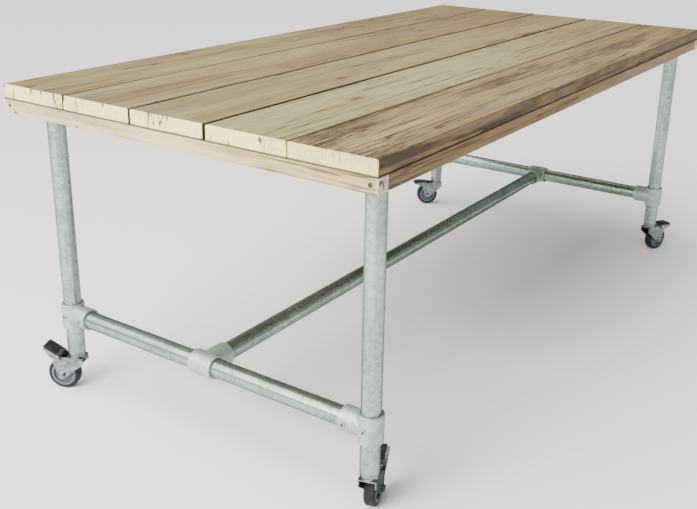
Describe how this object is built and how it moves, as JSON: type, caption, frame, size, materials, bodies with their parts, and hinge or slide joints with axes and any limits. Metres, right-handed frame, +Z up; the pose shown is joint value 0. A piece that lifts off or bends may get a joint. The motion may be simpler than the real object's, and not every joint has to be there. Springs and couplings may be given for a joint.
{
  "type": "plank-topped table on castors",
  "caption": "Rectangular dining table of weathered scaffold planks on a galvanised tube frame with an H-shaped stretcher, tube tees and braked swivel castors.",
  "frame": {"origin": "on the floor under the middle of the table top", "axes": "+X along the table's length to its right end, -Y to the front long side, +Z up"},
  "size_m": [2.0022, 1.0187, 0.786],
  "materials": {
    "plank_wood": "weathered",
    "lath_wood": "sawn",
    "batten_wood": "sawn",
    "spigot_wood": "turned",
    "zinc_screw": "bright zinc",
    "galvanised_tube": "galvanised",
    "galvanised_fitting": "hot-dip galvanised",
    "castor_steel": "bright zinc",
    "hub_plastic": "satin",
    "tyre_rubber": "matt",
    "pad_plastic": "matt"
  },
  "bodies": {
    "table": {"plank_1": "plank_wood", "plank_2": "plank_wood", "plank_3": "plank_wood", "plank_4": "plank_wood", "plank_5": "plank_wood", "end_lath_left": "lath_wood", "end_lath_right": "lath_wood", "side_lath_front": "lath_wood", "side_lath_back": "lath_wood", "cross_batten_left": "batten_wood", "cross_batten_middle": "batten_wood", "cross_batten_right": "batten_wood", "batten_screws": "zinc_screw", "lath_screws": "zinc_screw", "spigot_screws": "zinc_screw", "corner_screws": "zinc_screw", "leg_fl": "galvanised_tube", "leg_bl": "galvanised_tube", "leg_fr": "galvanised_tube", "leg_br": "galvanised_tube", "end_rail_left": "galvanised_tube", "end_rail_right": "galvanised_tube", "stretcher": "galvanised_tube", "corner_tee_fl": "galvanised_fitting", "corner_tee_bl": "galvanised_fitting", "corner_tee_fr": "galvanised_fitting", "corner_tee_br": "galvanised_fitting", "middle_tee_left": "galvanised_fitting", "middle_tee_right": "galvanised_fitting", "grub_screws": "zinc_screw", "leg_spigots": "spigot_wood", "castor_inserts": "castor_steel", "castor_races": "castor_steel", "swivel_balls": "castor_steel"},
    "swivel_fl": {"fork_fl": "castor_steel", "axle_set_fl": "zinc_screw"},
    "wheel_fl": {"wheel_hub_fl": "hub_plastic", "tyre_fl": "tyre_rubber"},
    "brake_fl": {"pedal_fl": "castor_steel", "pedal_pad_fl": "pad_plastic"},
    "swivel_bl": {"fork_bl": "castor_steel", "axle_set_bl": "zinc_screw"},
    "wheel_bl": {"wheel_hub_bl": "hub_plastic", "tyre_bl": "tyre_rubber"},
    "brake_bl": {"pedal_bl": "castor_steel", "pedal_pad_bl": "pad_plastic"},
    "swivel_fr": {"fork_fr": "castor_steel", "axle_set_fr": "zinc_screw"},
    "wheel_fr": {"wheel_hub_fr": "hub_plastic", "tyre_fr": "tyre_rubber"},
    "brake_fr": {"pedal_fr": "castor_steel", "pedal_pad_fr": "pad_plastic"},
    "swivel_br": {"fork_br": "castor_steel", "axle_set_br": "zinc_screw"},
    "wheel_br": {"wheel_hub_br": "hub_plastic", "tyre_br": "tyre_rubber"},
    "brake_br": {"pedal_br": "castor_steel", "pedal_pad_br": "pad_plastic"}
  },
  "joints": [
    {"name": "castor_swivel_fl", "type": "hinge", "parent": "table", "child": "swivel_fl", "pos_m": [-0.913, -0.4395, 0.09], "axis": [0, 0, 1], "continuous": true},
    {"name": "wheel_spin_fl", "type": "hinge", "parent": "swivel_fl", "child": "wheel_fl", "pos_m": [-0.87876, -0.42838, 0.04], "axis": [-0.309, 0.9511, 0], "continuous": true},
    {"name": "brake_pedal_fl", "type": "hinge", "parent": "swivel_fl", "child": "brake_fl", "pos_m": [-0.87306, -0.42652, 0.086], "axis": [0.309, -0.9511, 0], "range_deg": [-35, 0]},
    {"name": "castor_swivel_bl", "type": "hinge", "parent": "table", "child": "swivel_bl", "pos_m": [-0.913, 0.4395, 0.09], "axis": [0, 0, 1], "continuous": true},
    {"name": "wheel_spin_bl", "type": "hinge", "parent": "swivel_bl", "child": "wheel_bl", "pos_m": [-0.92878, 0.47186, 0.04], "axis": [-0.8988, -0.4384, 0], "continuous": true},
    {"name": "brake_pedal_bl", "type": "hinge", "parent": "swivel_bl", "child": "brake_bl", "pos_m": [-0.93141, 0.47725, 0.086], "axis": [0.8988, 0.4384, 0], "range_deg": [-35, 0]},
    {"name": "castor_swivel_fr", "type": "hinge", "parent": "table", "child": "swivel_fr", "pos_m": [0.913, -0.4395, 0.09], "axis": [0, 0, 1], "continuous": true},
    {"name": "wheel_spin_fr", "type": "hinge", "parent": "swivel_fr", "child": "wheel_fr", "pos_m": [0.94563, -0.45471, 0.04], "axis": [0.4226, 0.9063, 0], "continuous": true},
    {"name": "brake_pedal_fr", "type": "hinge", "parent": "swivel_fr", "child": "brake_fr", "pos_m": [0.95107, -0.45725, 0.086], "axis": [-0.4226, -0.9063, 0], "range_deg": [0, 35]},
    {"name": "castor_swivel_br", "type": "hinge", "parent": "table", "child": "swivel_br", "pos_m": [0.913, 0.4395, 0.09], "axis": [0, 0, 1], "continuous": true},
    {"name": "wheel_spin_br", "type": "hinge", "parent": "swivel_br", "child": "wheel_br", "pos_m": [0.88986, 0.46708, 0.04], "axis": [-0.766, -0.6428, 0], "continuous": true},
    {"name": "brake_pedal_br", "type": "hinge", "parent": "swivel_br", "child": "brake_br", "pos_m": [0.886, 0.47167, 0.086], "axis": [0.766, 0.6428, 0], "range_deg": [0, 35]}
  ]
}
